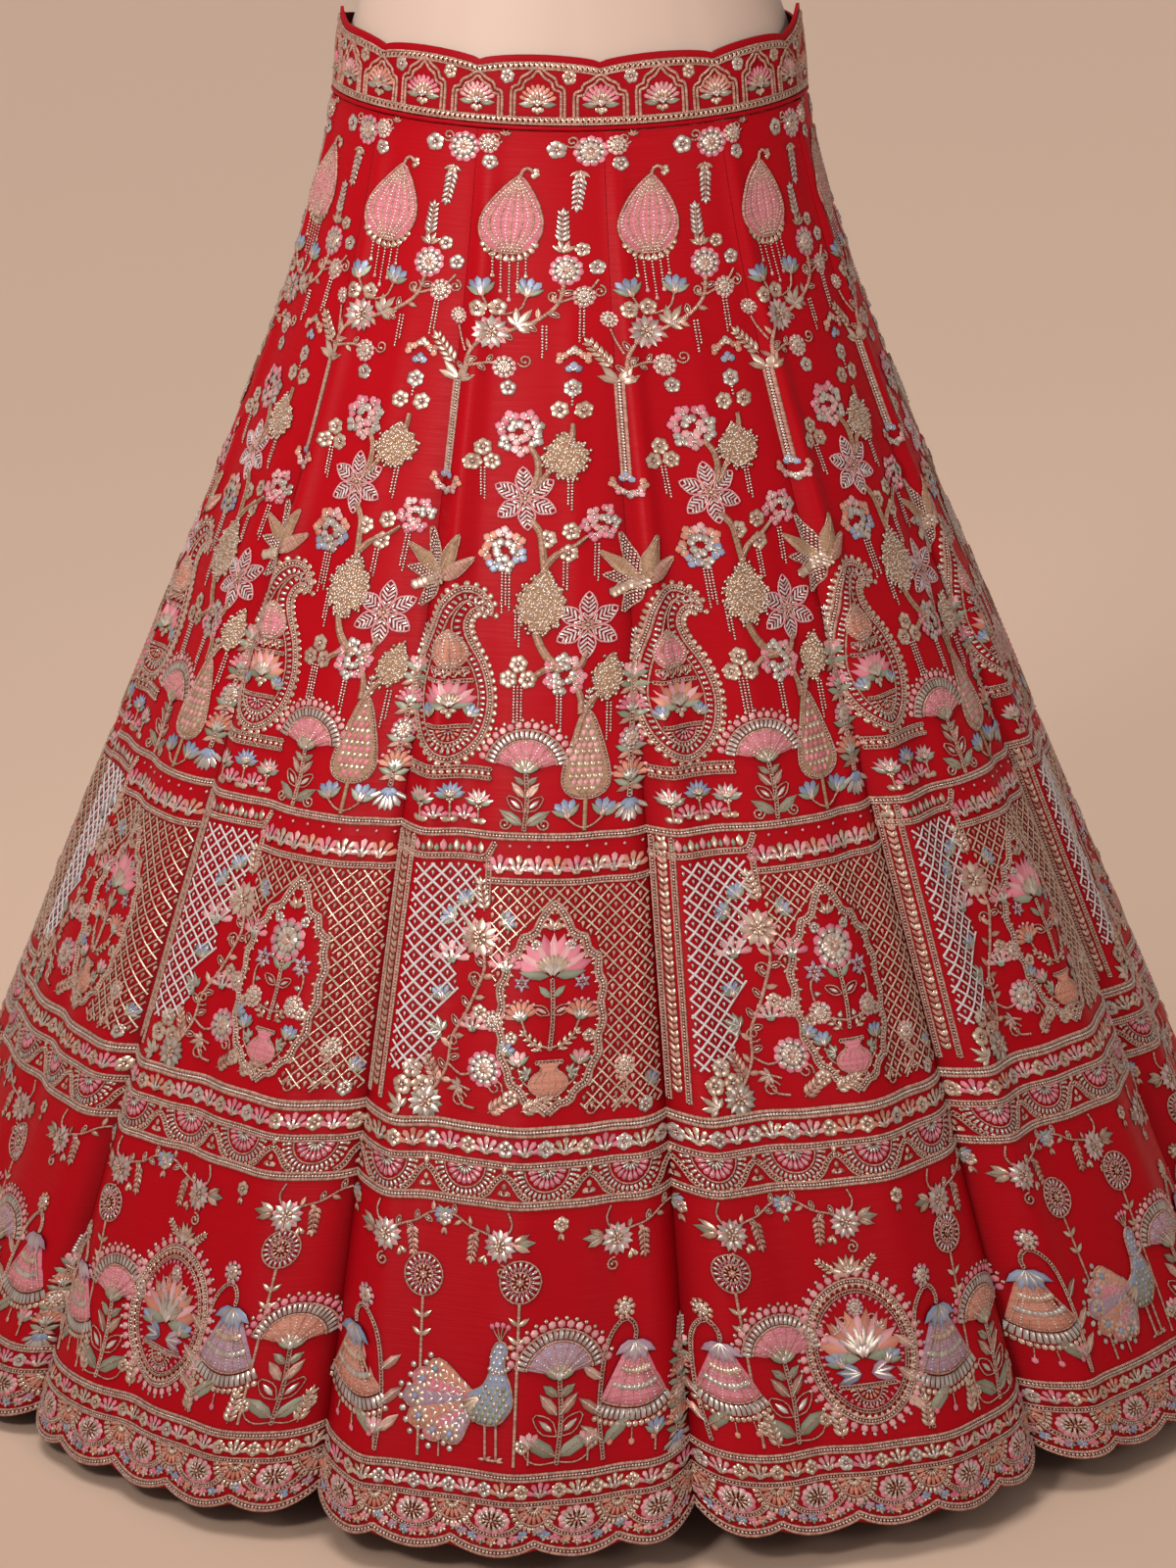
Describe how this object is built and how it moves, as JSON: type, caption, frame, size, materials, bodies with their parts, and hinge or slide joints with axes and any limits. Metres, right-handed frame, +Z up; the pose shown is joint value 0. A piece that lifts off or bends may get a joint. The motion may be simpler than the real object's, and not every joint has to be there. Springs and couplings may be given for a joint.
{
  "type": "lehenga skirt on dress form",
  "caption": "Red panelled lehenga skirt with a scalloped waistband and a scalloped hem, worn by a limbless dress form on a round-based stand.",
  "frame": {"origin": "centre of the stand's underside, on the floor", "axes": "+Z up, the skirt's front faces -Y, +X is to the right of someone facing the front"},
  "size_m": [1.0953, 1.0956, 1.5263],
  "materials": {
    "red_silk": "raw silk with a soft sheen",
    "waistband_silk": "raw silk, closely embroidered",
    "lining_cloth": "dull dark cotton",
    "form_cloth": "smooth stretched cover",
    "turned_wood": "oiled",
    "painted_steel": "satin black"
  },
  "bodies": {
    "root": {"kali_01": "red_silk", "kali_02": "red_silk", "kali_03": "red_silk", "kali_04": "red_silk", "kali_05": "red_silk", "kali_06": "red_silk", "kali_07": "red_silk", "kali_08": "red_silk", "kali_09": "red_silk", "kali_10": "red_silk", "kali_11": "red_silk", "kali_12": "red_silk", "waistband_front": "waistband_silk", "waistband_back": "waistband_silk", "waist_piping_front": "red_silk", "waist_piping_back": "red_silk", "lining_01": "lining_cloth", "lining_02": "lining_cloth", "lining_03": "lining_cloth", "lining_04": "lining_cloth", "lining_05": "lining_cloth", "lining_06": "lining_cloth", "lining_07": "lining_cloth", "lining_08": "lining_cloth", "lining_09": "lining_cloth", "lining_10": "lining_cloth", "lining_11": "lining_cloth", "lining_12": "lining_cloth", "form_torso": "form_cloth", "form_neck_cap": "turned_wood", "form_pole": "painted_steel", "form_base": "painted_steel"}
  },
  "joints": []
}
